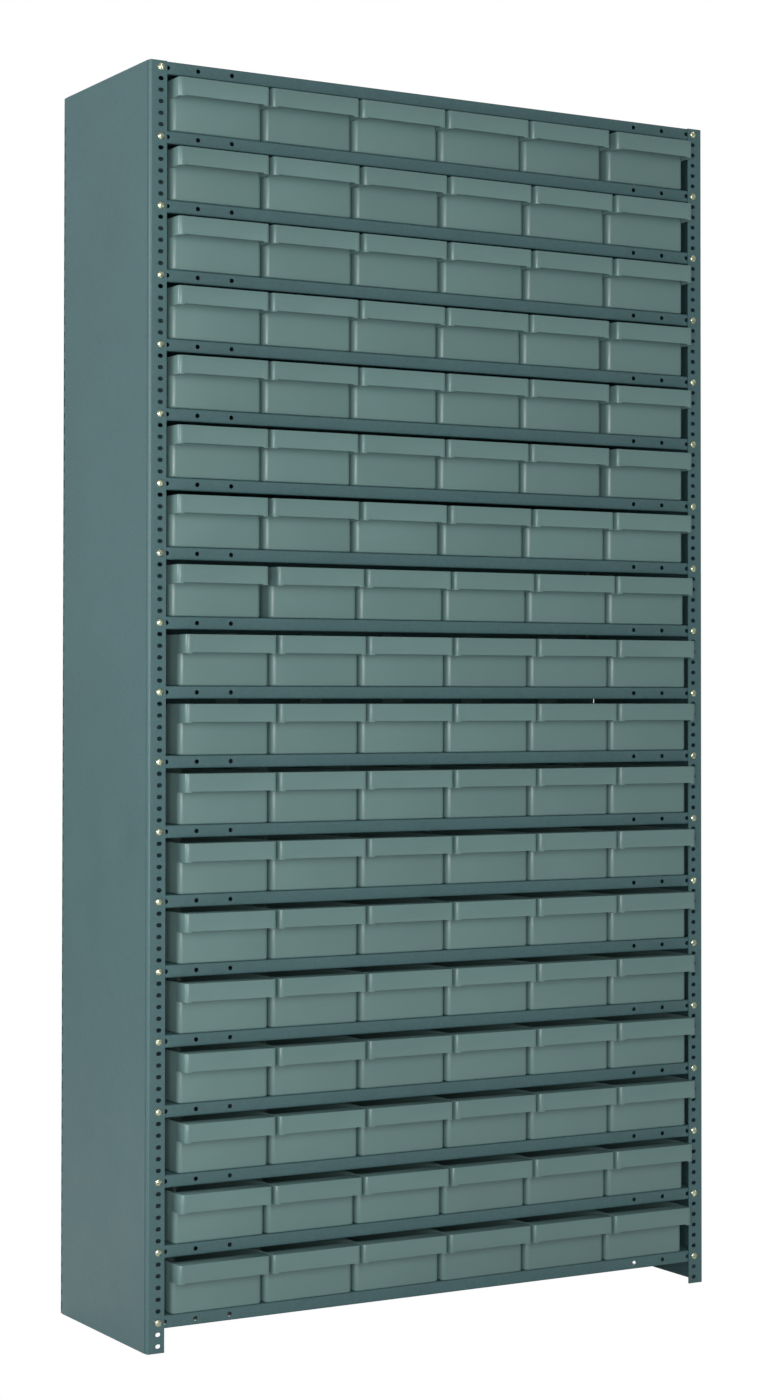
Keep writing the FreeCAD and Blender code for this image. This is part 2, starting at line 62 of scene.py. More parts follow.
photoView = {
    "place": (-2.2249, -3.7968, 0.9637),
    "turnRight": 0.5255,                 # radians from straight ahead
    "tiltUp": 0.0179,
    "roll": 0.0010,
    "sensor": 36,
    "lens": 70.317,
    "shiftUp": -0.0373,
    "farthest": 100,
}
studio = {
    "tallPlace": (-0.95, -3.9, 1.6),     # standing softbox, whose reflection runs down every corner
    "tallSize": (0.8, 2.2),
    "tallPower": 58,
    "frontPlace": (-2.29, -3.92, 0.97),  # by the camera, so that it shines through the slots
    "frontSize": (0.3, 0.3),
    "frontPower": 34,
    "sidePlace": (-4.0, 0.6, 1.9),       # for the side panel
    "sideSize": (1.6, 1.6),
    "sidePower": 96,
    "leftPlace": (-2.75, -3.4, 1.2),     # for the left sides of the drawers
    "leftSize": (0.8, 1.6),
    "leftPower": 50,
    "backPlace": (2.8, 3.0, 2.6),        # for the sides that the photo doesn't show
    "backSize": (1.6, 1.6),
    "backPower": 80,
    "aim": (0, -0.1, 0.95),
    "roomLight": 0.16,                   # how bright the room is as light on the unit
    "roomShine": 0.4,                    # in its reflections
    "roomSeen": 1,                       # and behind it
    "floorSize": 30,
    "floorColour": "#F1F1EF",
    "shadeHalf": 0.49,                   # floor in the unit's own shade, under the shelf
    "shadeFront": 0.02,
    "shadeBack": 0.165,
}
white = (1, 1, 1, 1)


def linearColour(hexColour):
    parts = [int(hexColour[i:i + 2], 16) / 255 for i in (1, 3, 5)]
    return [p / 12.92 if p <= 0.04045 else ((p + 0.055) / 1.055) ** 2.4 for p in parts] + [1]


def addNode(tree, kind, inputs=None, **settings):
    # An input is a value, a socket, or a node, which stands for its first output
    node = tree.nodes.new(kind)
    for key, value in settings.items():
        setattr(node, key, value)
    for key, value in (inputs or {}).items():
        source = value.outputs[0] if isinstance(value, bpy.types.Node) else value
        if isinstance(source, bpy.types.NodeSocket):
            tree.links.new(source, node.inputs[key])
        else:
            node.inputs[key].default_value = source
    return node


def makeCamera():
    data = bpy.data.cameras.new("photoCamera")
    data.sensor_width = photoView["sensor"]
    data.lens = photoView["lens"]
    data.shift_y = photoView["shiftUp"]
    data.clip_end = photoView["farthest"]
    camera = bpy.data.objects.new("photoCamera", data)
    bpy.context.scene.collection.objects.link(camera)
    camera.matrix_world = (
        Matrix.Translation(photoView["place"])
        @ Matrix.Rotation(-photoView["turnRight"], 4, "Z")
        @ Matrix.Rotation(math.pi / 2 + photoView["tiltUp"], 4, "X")
        @ Matrix.Rotation(photoView["roll"], 4, "Z"))
    bpy.context.scene.camera = camera


def makeLamp(name):
    place = Vector(studio[name + "Place"])
    data = bpy.data.lights.new(name, "AREA")
    data.shape = "RECTANGLE"
    data.size, data.size_y = studio[name + "Size"]
    data.energy = studio[name + "Power"]
    lamp = bpy.data.objects.new(name, data)
    bpy.context.scene.collection.objects.link(lamp)
    lamp.location = place
    lamp.rotation_euler = (Vector(studio["aim"]) - place).to_track_quat("-Z", "Y").to_euler()


def makeRoom():
    # White behind the unit, dimmer in reflections, so that the zinc heads don't look like white balls,
    # and dimmer still as light
    world = bpy.data.worlds.new("studioRoom")
    bpy.context.scene.world = world
    world.use_nodes = True
    tree = world.node_tree
    tree.nodes.clear()
    rays = addNode(tree, "ShaderNodeLightPath")
    straight = addNode(tree, "ShaderNodeMath", {0: rays.outputs["Is Camera Ray"],
                                                1: rays.outputs["Is Transmission Ray"]}, operation="MAXIMUM")
    light, shine, seen = [addNode(tree, "ShaderNodeBackground", {"Color": white, "Strength": studio[use]})
                          for use in ("roomLight", "roomShine", "roomSeen")]
    mix = addNode(tree, "ShaderNodeMixShader", {0: rays.outputs["Is Glossy Ray"], 1: light, 2: shine})
    mix = addNode(tree, "ShaderNodeMixShader", {0: straight, 1: mix, 2: seen})
    addNode(tree, "ShaderNodeOutputWorld", {0: mix})


def makeFloorPaint():
    # As white to the camera as the photo's cut-out background, but dull paint under the lowest shelf,
    # so that the holes in its lip look dark. All other rays meet the dull paint
    paint = bpy.data.materials.new("studioFloorPaint")
    paint.use_nodes = True
    tree = paint.node_tree
    tree.nodes.clear()
    rays = addNode(tree, "ShaderNodeLightPath")
    dull = addNode(tree, "ShaderNodeBsdfDiffuse", {"Color": linearColour(studio["floorColour"])})
    lit = addNode(tree, "ShaderNodeEmission", {"Color": white, "Strength": studio["roomSeen"]})
    spot = addNode(tree, "ShaderNodeSeparateXYZ", {0: addNode(tree, "ShaderNodeTexCoord").outputs["Object"]})
    across = addNode(tree, "ShaderNodeMath", {0: spot.outputs["X"]}, operation="ABSOLUTE")
    shaded = addNode(tree, "ShaderNodeMath", {0: across, 1: studio["shadeHalf"]}, operation="LESS_THAN")
    for limit, side in (("shadeFront", "GREATER_THAN"), ("shadeBack", "LESS_THAN")):
        within = addNode(tree, "ShaderNodeMath", {0: spot.outputs["Y"], 1: studio[limit]}, operation=side)
        shaded = addNode(tree, "ShaderNodeMath", {0: shaded, 1: within}, operation="MULTIPLY")
    seen = addNode(tree, "ShaderNodeMath", {0: rays.outputs["Is Camera Ray"], 1: shaded},
                   operation="SUBTRACT", use_clamp=True)
    both = addNode(tree, "ShaderNodeMixShader", {0: seen, 1: dull, 2: lit})
    addNode(tree, "ShaderNodeOutputMaterial", {0: both})
    return paint


def makeFloor():
    half = studio["floorSize"] / 2
    mesh = bpy.data.meshes.new("studioFloor")
    mesh.from_pydata([(-half, -half, 0), (half, -half, 0), (half, half, 0), (-half, half, 0)],
                     [], [(0, 1, 2, 3)])
    floor = bpy.data.objects.new("studioFloor", mesh)
    bpy.context.scene.collection.objects.link(floor)
    mesh.materials.append(makeFloorPaint())


bpy.context.scene.view_settings.view_transform = "Standard"
makeCamera()
for lampName in ("tall", "front", "side", "left", "back"):
    makeLamp(lampName)
makeRoom()
makeFloor()
print("camera and lamps set")


# Finishes, whose patterns are in real sizes on Object coordinates

noiseSpan = {"From Min": 0.3, "From Max": 0.7}   # where nearly all of a noise texture's values lie


def startPaint(name):
    material = bpy.data.materials.new(name)
    material.use_nodes = True
    tree = material.node_tree
    tree.nodes.clear()
    return material, tree, addNode(tree, "ShaderNodeTexCoord").outputs["Object"]


enamel = {
    "colour": "#3F5C5F",
    "ior": 1.5,
    "roughness": (0.37, 0.48),
    "cloudSize": 300 * mm,       # slow drift of the sprayed colour
    "cloudShade": (0.955, 1.045),
    "dullSize": 75 * mm,         # drift of its gloss
    "speckSize": 4 * mm,         # spray speckle, drawn coarser than its 1 mm so that it shows
    "speckShade": (0.93, 1.07),
    "peelSize": 2.2 * mm,        # orange peel
    "peelHeight": 0.08 * mm,
    "peelStrength": 0.6,
}


def makeEnamel():
    # Baked blue-grey enamel, sprayed on steel: satin, with orange peel that breaks up its reflections
    material, tree, place = startPaint("blueGreyEnamel")
    cloud = addNode(tree, "ShaderNodeTexNoise", {"Vector": place, "Scale": 1 / enamel["cloudSize"],
                                                 "Detail": 3})
    cloudLow, cloudHigh = enamel["cloudShade"]
    cloud = addNode(tree, "ShaderNodeMapRange", {"Value": cloud, **noiseSpan, "To Min": cloudLow,
                                                 "To Max": cloudHigh})
    speck = addNode(tree, "ShaderNodeTexNoise", {"Vector": place, "Scale": 1 / enamel["speckSize"],
                                                 "Detail": 1})
    speckLow, speckHigh = enamel["speckShade"]
    speck = addNode(tree, "ShaderNodeMapRange", {"Value": speck, **noiseSpan, "To Min": speckLow,
                                                 "To Max": speckHigh})
    tone = addNode(tree, "ShaderNodeMath", {0: cloud, 1: speck}, operation="MULTIPLY")
    base = addNode(tree, "ShaderNodeRGB")
    base.outputs[0].default_value = linearColour(enamel["colour"])
    colour = addNode(tree, "ShaderNodeVectorMath", {0: base, "Scale": tone}, operation="SCALE")
    dull = addNode(tree, "ShaderNodeTexNoise", {"Vector": place, "Scale": 1 / enamel["dullSize"],
                                                "Detail": 3})
    glossy, dullest = enamel["roughness"]
    rough = addNode(tree, "ShaderNodeMapRange", {"Value": dull, **noiseSpan, "To Min": glossy,
                                                 "To Max": dullest})
    peel = addNode(tree, "ShaderNodeTexNoise", {"Vector": place, "Scale": 1 / enamel["peelSize"]})
    peel = addNode(tree, "ShaderNodeBump", {"Height": peel, "Distance": enamel["peelHeight"],
                                            "Strength": enamel["peelStrength"]})
    shader = addNode(tree, "ShaderNodeBsdfPrincipled", {"Base Color": colour, "Roughness": rough,
                                                        "Normal": peel, "IOR": enamel["ior"]})
    addNode(tree, "ShaderNodeOutputMaterial", {0: shader})
    return material


trayPlastic = {
    "colour": "#5C7775",
    "ior": 1.49,
    "roughness": (0.32, 0.41),
    "tint": (0.965, 1.035),      # lighter and darker batches
    "flowSize": 90 * mm,         # faint flow marks of the moulding
    "flowShade": (0.98, 1.02),
    "flowHeight": 0.8 * mm,
    "flowStrength": 0.25,
    "grainSize": 0.9 * mm,       # spark-eroded grain of the mould
    "grainHeight": 0.04 * mm,
    "grainStrength": 0.5,
}


def makeTrayPlastic():
    # Injection-moulded grey-green plastic: a fine mould grain, faint flow marks, batches a little apart
    material, tree, place = startPaint("greyGreenPlastic")
    flowScale = 1 / trayPlastic["flowSize"]
    flow = addNode(tree, "ShaderNodeTexNoise", {"Vector": place, "Scale": flowScale})
    flowLow, flowHigh = trayPlastic["flowShade"]
    flow = addNode(tree, "ShaderNodeMapRange", {"Value": flow, **noiseSpan, "To Min": flowLow,
                                                "To Max": flowHigh})
    batch = addNode(tree, "ShaderNodeAttribute", attribute_name="trayTint").outputs["Fac"]
    tintLow, tintHigh = trayPlastic["tint"]
    batch = addNode(tree, "ShaderNodeMapRange", {"Value": batch, "To Min": tintLow, "To Max": tintHigh})
    tone = addNode(tree, "ShaderNodeMath", {0: flow, 1: batch}, operation="MULTIPLY")
    base = addNode(tree, "ShaderNodeRGB")
    base.outputs[0].default_value = linearColour(trayPlastic["colour"])
    colour = addNode(tree, "ShaderNodeVectorMath", {0: base, "Scale": tone}, operation="SCALE")
    dull = addNode(tree, "ShaderNodeTexNoise", {"Vector": place, "Scale": flowScale, "Detail": 3})
    glossy, dullest = trayPlastic["roughness"]
    rough = addNode(tree, "ShaderNodeMapRange", {"Value": dull, **noiseSpan, "To Min": glossy,
                                                 "To Max": dullest})
    waves = addNode(tree, "ShaderNodeTexNoise", {"Vector": place, "Scale": flowScale, "Detail": 1})
    waves = addNode(tree, "ShaderNodeBump", {"Height": waves, "Distance": trayPlastic["flowHeight"],
                                             "Strength": trayPlastic["flowStrength"]})
    grain = addNode(tree, "ShaderNodeTexNoise", {"Vector": place, "Scale": 1 / trayPlastic["grainSize"]})
    grain = addNode(tree, "ShaderNodeBump", {"Height": grain, "Distance": trayPlastic["grainHeight"],
                                             "Strength": trayPlastic["grainStrength"], "Normal": waves})
    shader = addNode(tree, "ShaderNodeBsdfPrincipled", {"Base Color": colour, "Roughness": rough,
                                                        "Normal": grain, "IOR": trayPlastic["ior"]})
    addNode(tree, "ShaderNodeOutputMaterial", {0: shader})
    return material


zinc = {
    "colour": "#CCD3B8",
    "roughness": (0.12, 0.34),
    "patchSize": 4 * mm,         # dull patches of the plating
    "patchShade": (0.86, 1.0),
}


def makeZinc():
    # Bright zinc plating on rolled steel: metallic, dulled in small patches
    material, tree, place = startPaint("brightZinc")
    patch = addNode(tree, "ShaderNodeTexNoise", {"Vector": place, "Scale": 1 / zinc["patchSize"],
                                                 "Detail": 3})
    patchLow, patchHigh = zinc["patchShade"]
    tone = addNode(tree, "ShaderNodeMapRange", {"Value": patch, **noiseSpan, "To Min": patchLow,
                                                "To Max": patchHigh})
    base = addNode(tree, "ShaderNodeRGB")
    base.outputs[0].default_value = linearColour(zinc["colour"])
    colour = addNode(tree, "ShaderNodeVectorMath", {0: base, "Scale": tone}, operation="SCALE")
    glossy, dullest = zinc["roughness"]
    rough = addNode(tree, "ShaderNodeMapRange", {"Value": patch, **noiseSpan, "To Min": glossy,
                                                 "To Max": dullest})
    shader = addNode(tree, "ShaderNodeBsdfPrincipled", {"Base Color": colour, "Roughness": rough,
                                                        "Metallic": 1.0})
    addNode(tree, "ShaderNodeOutputMaterial", {0: shader})
    return material


blueGreyEnamel = makeEnamel()
greyGreenPlastic = makeTrayPlastic()
brightZinc = makeZinc()
print("finishes made")


# Meshes and geometry trees

making = {
    "crease": 30,                # degrees: an edge that turns more stays crisp
    "weld": 0.01 * mm,
    "hair": 0.1 * mm,            # less than this is the same place
    "onCut": 1e-7,               # metres: a corner this near to a cut lies on it
    "rounding": 1e-9,
}


def newObject(name, mesh):
    thing = bpy.data.objects.new(name, mesh)
    bpy.context.scene.collection.objects.link(thing)
    return thing


def smoothMesh(mesh):
    mesh.polygons.foreach_set("use_smooth", [True] * len(mesh.polygons))
    mesh.set_sharp_from_angle(angle=math.radians(making["crease"]))
    return mesh


def closedMesh(name, build):
    # A mesh from bmesh code, with its seams welded and its faces turned outward
    work = bmesh.new()
    build(work)
    bmesh.ops.remove_doubles(work, verts=work.verts, dist=making["weld"])
    bmesh.ops.recalc_face_normals(work, faces=work.faces)
    mesh = bpy.data.meshes.new(name)
    work.to_mesh(mesh)
    work.free()
    return smoothMesh(mesh)


def joined(name, parts):
    # One mesh from (mesh, matrix) parts, whose faces are turned back where a matrix mirrors
    work = bmesh.new()
    for mesh, matrix in parts:
        part = bmesh.new()
        part.from_mesh(mesh)
        part.transform(matrix)
        if matrix.determinant() < 0:
            bmesh.ops.reverse_faces(part, faces=part.faces)
        copy = bpy.data.meshes.new("part")
        part.to_mesh(copy)
        part.free()
        work.from_mesh(copy)
        bpy.data.meshes.remove(copy)
    mesh = bpy.data.meshes.new(name)
    work.to_mesh(mesh)
    work.free()
    mesh.materials.append(parts[0][0].materials[0])
    return smoothMesh(mesh)


def arcPoints(centre, radius, startAngle, endAngle, steps):
    for step in range(steps + 1):
        angle = math.radians(startAngle + (endAngle - startAngle) * step / steps)
        yield centre[0] + radius * math.cos(angle), centre[1] + radius * math.sin(angle)


def newTree(name, inputs):
    # An empty geometry tree with named inputs, each (name, kind, value)
    tree = bpy.data.node_groups.new(name, "GeometryNodeTree")
    tree.interface.new_socket("Geometry", in_out="INPUT", socket_type="NodeSocketGeometry")
    for label, kind, value in inputs:
        socket = tree.interface.new_socket(label, in_out="INPUT", socket_type="NodeSocket" + kind)
        if value is not None:
            socket.default_value = value
    tree.interface.new_socket("Geometry", in_out="OUTPUT", socket_type="NodeSocketGeometry")
    source = tree.nodes.new("NodeGroupInput")
    return tree, {socket.name: socket for socket in source.outputs}


def endTree(tree, geometry, finish):
    solid = addNode(tree, "GeometryNodeRealizeInstances", {"Geometry": geometry})
    painted = addNode(tree, "GeometryNodeSetMaterial", {"Geometry": solid, "Material": finish})
    sink = tree.nodes.new("NodeGroupOutput")
    tree.links.new(painted.outputs[0], sink.inputs["Geometry"])


def runTree(tree, name, spots, values, marks):
    # Runs a tree on points that carry marks, and gives the result as a plain mesh on a new object
    points = bpy.data.meshes.new(name + "Points")
    points.from_pydata([tuple(spot) for spot in spots], [], [])
    for label, (kind, data) in marks.items():
        layer = points.attributes.new(label, kind, "POINT")
        layer.data.foreach_set("vector" if kind == "FLOAT_VECTOR" else "value", data)
    holder = newObject(name, points)
    shape = holder.modifiers.new("shape", "NODES")
    shape.node_group = tree
    for item in tree.interface.items_tree:
        if item.item_type == "SOCKET" and item.in_out == "INPUT" and item.name in values:
            shape[item.identifier] = values[item.name]
    graph = bpy.context.evaluated_depsgraph_get()
    mesh = bpy.data.meshes.new_from_object(holder.evaluated_get(graph))
    holder.modifiers.remove(shape)
    holder.data = mesh
    mesh.name = name
    return holder


# Punched and folded steel: each sheet is cut flat with all its holes, then folded

punch = {
    "holeKinds": 4,              # sizes of hole that one sheet can have
    "roundEnd": 0.4995,          # share of a hole's width, just under half so that it keeps its sides
    "roundSteps": 4,
}


def makePunchTree():
    # Fills a rectangle round the holes on its points and thickens it. The sheet lies in X (across)
    # and Y (along), with its outer face at Z = 0
    inputs = [("Width", "Float", 1.0), ("Length", "Float", 1.0), ("Thickness", "Float", 1 * mm),
              ("Finish", "Material", None)]
    for kind in range(punch["holeKinds"]):
        inputs += [(f"Hole {kind} across", "Float", 6 * mm), (f"Hole {kind} along", "Float", 6 * mm)]
    tree, given = newTree("punchedSheet", inputs)

    corner = addNode(tree, "ShaderNodeCombineXYZ", {"X": given["Width"], "Y": given["Length"]})
    middle = addNode(tree, "ShaderNodeVectorMath", {0: corner, "Scale": 0.5}, operation="SCALE")
    edge = addNode(tree, "GeometryNodeCurvePrimitiveQuadrilateral",
                   {"Width": given["Width"], "Height": given["Length"]})
    curves = [addNode(tree, "GeometryNodeTransform", {"Geometry": edge, "Translation": middle})]
    mark = addNode(tree, "GeometryNodeInputNamedAttribute", {"Name": "holeKind"}, data_type="INT")
    for kind in range(punch["holeKinds"]):
        across, along = given[f"Hole {kind} across"], given[f"Hole {kind} along"]
        hole = addNode(tree, "GeometryNodeCurvePrimitiveQuadrilateral", {"Width": across, "Height": along})
        narrow = addNode(tree, "ShaderNodeMath", {0: across, 1: along}, operation="MINIMUM")
        radius = addNode(tree, "ShaderNodeMath", {0: narrow, 1: punch["roundEnd"]}, operation="MULTIPLY")
        hole = addNode(tree, "GeometryNodeFilletCurve",
                       {"Curve": hole, "Radius": radius, "Count": punch["roundSteps"]}, mode="POLY")
        same = addNode(tree, "FunctionNodeCompare", {2: mark, 3: kind}, data_type="INT", operation="EQUAL")
        copies = addNode(tree, "GeometryNodeInstanceOnPoints",
                         {"Points": given["Geometry"], "Selection": same, "Instance": hole})
        curves.append(addNode(tree, "GeometryNodeRealizeInstances", {"Geometry": copies}))
    outlines = addNode(tree, "GeometryNodeJoinGeometry")
    for curve in curves:
        tree.links.new(curve.outputs[0], outlines.inputs[0])

    face = addNode(tree, "GeometryNodeFillCurve", {"Curve": outlines})
    depth = addNode(tree, "ShaderNodeMath", {0: given["Thickness"], 1: -1}, operation="MULTIPLY")
    up = addNode(tree, "ShaderNodeCombineXYZ", {"Z": 1})
    inner = addNode(tree, "GeometryNodeExtrudeMesh",
                    {"Mesh": face, "Offset": up, "Offset Scale": depth, "Individual": False})
    outer = addNode(tree, "GeometryNodeFlipFaces", {"Mesh": face})
    both = addNode(tree, "GeometryNodeJoinGeometry")
    for side in (inner, outer):
        tree.links.new(side.outputs[0], both.inputs[0])
    welded = addNode(tree, "GeometryNodeMergeByDistance", {"Geometry": both, "Distance": making["weld"]})
    endTree(tree, welded, given["Finish"])
    return tree


def foldPath(segments):
    # Runs along a folded sheet's outer face. A flat segment is its length, a bend (radius, degrees)
    at = 0
    for segment in segments:
        bend = segment if isinstance(segment, tuple) else None
        length = bend[0] * math.radians(bend[1]) if bend else segment
        yield at, at + length, bend
        at += length


def flatWidth(segments):
    return max(end for start, end, bend in foldPath(segments))


def foldPoint(segments, across, depth):
    # Where a point of the flat sheet comes after folding, in the plane of the fold
    place = Vector((0, 0))
    heading = 0.0
    for start, end, bend in foldPath(segments):
        inward = Vector((-math.sin(heading), math.cos(heading)))
        onward = Vector((math.cos(heading), math.sin(heading)))
        last = across <= end + making["rounding"]
        if bend:
            radius, degrees = bend
            centre = place + inward * radius
            angle = heading + (min(across, end) - start) / radius
            spoke = Vector((math.sin(angle), -math.cos(angle)))
            if last:
                return centre + spoke * (radius - depth)
            place = centre + spoke * radius
            heading += math.radians(degrees)
        else:
            if last:
                return place + onward * (across - start) + inward * depth
            place = place + onward * (end - start)
    return place


def foldedSheet(name, segments, length, sheet, holes, sizes):
    # A sheet punched with holes (across, along, kind), then folded. The fold runs in X and Y from
    # the origin, and the sheet's length goes up Z
    values = {"Width": flatWidth(segments), "Length": length, "Thickness": sheet["thickness"],
              "Finish": blueGreyEnamel}
    for kind, (acrossSize, alongSize) in enumerate(sizes):
        values[f"Hole {kind} across"] = acrossSize
        values[f"Hole {kind} along"] = alongSize
    flat = runTree(punchedSheet, name + "Flat", [(across, along, 0) for across, along, kind in holes],
                   values, {"holeKind": ("INT", [kind for across, along, kind in holes])})
    work = bmesh.new()
    work.from_mesh(flat.data)
    for start, end, bend in foldPath(segments):
        if bend:
            steps = max(2, round(abs(bend[1]) / sheet["bendStep"]))
            for step in range(steps + 1):
                cut = start + (end - start) * step / steps
                everything = work.verts[:] + work.edges[:] + work.faces[:]
                bmesh.ops.bisect_plane(work, geom=everything, dist=making["onCut"], plane_co=(cut, 0, 0),
                                       plane_no=(1, 0, 0))
    bmesh.ops.triangulate(work, faces=[face for face in work.faces if len(face.verts) > 4])
    for vertex in work.verts:
        spot = foldPoint(segments, vertex.co.x, -vertex.co.z)
        vertex.co = (spot.x, spot.y, vertex.co.y)
    bmesh.ops.recalc_face_normals(work, faces=work.faces)
    mesh = bpy.data.meshes.new(name)
    work.to_mesh(mesh)
    work.free()
    bpy.data.objects.remove(flat)
    mesh.materials.append(blueGreyEnamel)
    return smoothMesh(mesh)


def makePlacingTree():
    # Puts a piece on each point, turned as the point faces and then about its own axis by chance,
    # with a tint of its own
    tree, given = newTree("placedPieces", [
        ("Piece", "Object", None), ("Finish", "Material", None),
        ("Chance turn", "Float", 0.0), ("Seed", "Int", 1)])
    piece = addNode(tree, "GeometryNodeObjectInfo", {"Object": given["Piece"], "As Instance": True})
    facing = addNode(tree, "GeometryNodeInputNamedAttribute", {"Name": "facing"}, data_type="FLOAT_VECTOR")
    facing = addNode(tree, "FunctionNodeEulerToRotation", {0: facing})
    copies = addNode(tree, "GeometryNodeInstanceOnPoints",
                     {"Points": given["Geometry"], "Instance": piece.outputs["Geometry"],
                      "Rotation": facing})
    chance = addNode(tree, "FunctionNodeRandomValue", {"Seed": given["Seed"]}, data_type="FLOAT")
    angle = addNode(tree, "ShaderNodeMath", {0: chance.outputs[1], 1: given["Chance turn"]},
                    operation="MULTIPLY")
    spin = addNode(tree, "ShaderNodeCombineXYZ", {"Z": angle})
    turned = addNode(tree, "GeometryNodeRotateInstances", {"Instances": copies, "Rotation": spin})
    tinted = addNode(tree, "GeometryNodeStoreNamedAttribute",
                     {"Geometry": turned, "Name": "trayTint", "Value": chance.outputs[1]},
                     data_type="FLOAT", domain="INSTANCE")
    endTree(tree, tinted, given["Finish"])
    return tree


def placePieces(name, piece, finish, spots, facings, turn=0.0, seed=1):
    values = {"Piece": piece, "Finish": finish, "Chance turn": turn, "Seed": seed}
    angles = [angle for facing in facings for angle in facing]
    return runTree(placedPieces, name, spots, values, {"facing": ("FLOAT_VECTOR", angles)})


punchedSheet = makePunchTree()
placedPieces = makePlacingTree()
print("geometry trees made")


# Angle posts

post = {
    "thickness": 1.9 * mm,
    "bendRadius": 3 * mm,
    "bendStep": 11.25,           # degrees
    "slotPitch": 17.14 * mm,
    "firstSlot": 10.1 * mm,
    "slotInset": 17.6 * mm,      # outer side of the post to its slots
    "slotSize": (8.5 * mm, 6.4 * mm),
    "sideHoleInset": 29.5 * mm,
    "sideHole": 7 * mm,
    "bendSlotPitch": 42.85 * mm,
    "firstBendSlot": 12 * mm,
    "bendSlotInset": 4.8 * mm,   # slotted face to the middle of a slot in the bend
    "bendSlotWidth": 4.2 * mm,
    "longSlot": 14 * mm,
    "shortSlot": 9 * mm,
}


def alongBend(depth):
    # Length along the sheet, from the start of the bend to a point that deep behind the slotted face
    radius = post["bendRadius"]
    if depth < radius:
        return radius * math.acos(1 - depth / radius)
    return radius * math.pi / 2 + depth - radius


def makePost(node):
    low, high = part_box(node)
    radius = post["bendRadius"]
    frontFlat = high.x - low.x - radius
    sideFlat = high.y - low.y - radius
    height = high.z - low.z
    slotAcross = frontFlat + radius - post["slotInset"]
    sideAcross = frontFlat + radius * math.pi / 2 + post["sideHoleInset"] - radius
    holes = []
    for row in range(1 + int((height - post["firstSlot"]) / post["slotPitch"])):
        along = post["firstSlot"] + row * post["slotPitch"]
        holes += [(slotAcross, along, 0), (sideAcross, along, 1)]
    # The two edges of a bend slot, from the start of the bend along the sheet
    edges = [alongBend(post["bendSlotInset"] + side * post["bendSlotWidth"] / 2) for side in (-1, 1)]
    if node.startswith("back"):
        bendAcross = frontFlat + sum(edges) / 2
        rows = 1 + int((height - 2 * post["firstBendSlot"]) / post["bendSlotPitch"])
        for row in range(rows):
            along = post["firstBendSlot"] + row * post["bendSlotPitch"]
            holes.append((bendAcross, along, 2))
            if row < rows - 1:
                holes.append((bendAcross, along + post["bendSlotPitch"] / 2, 3))
    bendSlot = edges[1] - edges[0]
    sizes = [post["slotSize"], (post["sideHole"],) * 2,
             (bendSlot, post["longSlot"]), (bendSlot, post["shortSlot"])]
    sheet = foldedSheet(node + "Sheet", [frontFlat, (radius, 90), sideFlat], height, post, holes, sizes)
    left, back = "left" in node, "back" in node
    matrix = (Matrix.Translation((high.x if left else low.x, high.y if back else low.y, low.z))
              @ Matrix.Diagonal((-1 if left else 1, -1 if back else 1, 1, 1)))
    piece = newObject(node + "Steel", joined(node + "Steel", [(sheet, matrix)]))
    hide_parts(node)
    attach(piece, "frame")


for node in ("front_left_post", "front_right_post", "back_left_post", "back_right_post"):
    makePost(node)
print("posts punched and folded")


# Shelves

shelf = {
    "thickness": 1.2 * mm,
    "bendRadius": 2.2 * mm,
    "bendStep": 22.5,                # degrees
    "returnDepth": 8 * mm,
    "lipHeight": 19 * mm,
    "sideLipShort": 0.5 * mm,        # how much shorter the lips at the two sides are, top to bottom
    "boltHole": 6.8 * mm,
    "boltInset": 18.5 * mm,          # unit's side to the bolts
    "spareHole": 7 * mm,
    "spareInsets": (30.5 * mm, 80.5 * mm, 137 * mm),
}
shelfCounts = {"bottom_shelf": 1, "middle_shelves": 17, "top_shelf": 1}


def makeShelfPattern():
    # One shelf, from the middle of its front lip's face at its top surface
    low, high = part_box("bottom_shelf")
    unitHalf = (cadHigh.x - cadLow.x) / 2
    length, depth = high.x - low.x, high.y - low.y
    thick, radius = shelf["thickness"], shelf["bendRadius"]
    lip = shelf["lipHeight"] - 2 * radius
    fold = (radius, 90)
    inFlat = shelf["returnDepth"] - radius
    segments = [inFlat, fold, lip, fold, depth - 2 * radius, fold, lip, fold, inFlat]
    lipMiddle = inFlat + radius * math.pi / 2 + lip / 2
    holes = []
    for side in (-1, 1):
        along = length / 2 + side * (unitHalf - shelf["boltInset"])
        holes += [(lipMiddle, along, 0), (flatWidth(segments) - lipMiddle, along, 0)]
        holes += [(lipMiddle, length / 2 + side * (unitHalf - inset), 1) for inset in shelf["spareInsets"]]
    sizes = [(shelf["boltHole"],) * 2, (shelf["spareHole"],) * 2]
    sheet = foldedSheet("shelfSheet", segments, length, shelf, holes, sizes)
    upright = Matrix(((0, 0, 1, -length / 2), (-1, 0, 0, shelf["returnDepth"]),
                      (0, 1, 0, -shelf["lipHeight"]), (0, 0, 0, 1)))

    def buildSideLips(work):
        for side in (-1, 1):
            spot = Vector((side * (length - thick) / 2, depth / 2, -shelf["lipHeight"] / 2))
            size = (thick, depth - 2 * thick - 2 * radius, shelf["lipHeight"] - shelf["sideLipShort"])
            place = Matrix.Translation(spot) @ Matrix.Diagonal((*size, 1))
            bmesh.ops.create_cube(work, size=1, matrix=place)

    lips = closedMesh("shelfSideLips", buildSideLips)
    lips.materials.append(blueGreyEnamel)
    return newObject("shelfPattern", joined("shelfPattern", [(sheet, upright), (lips, Matrix.Identity(4))]))


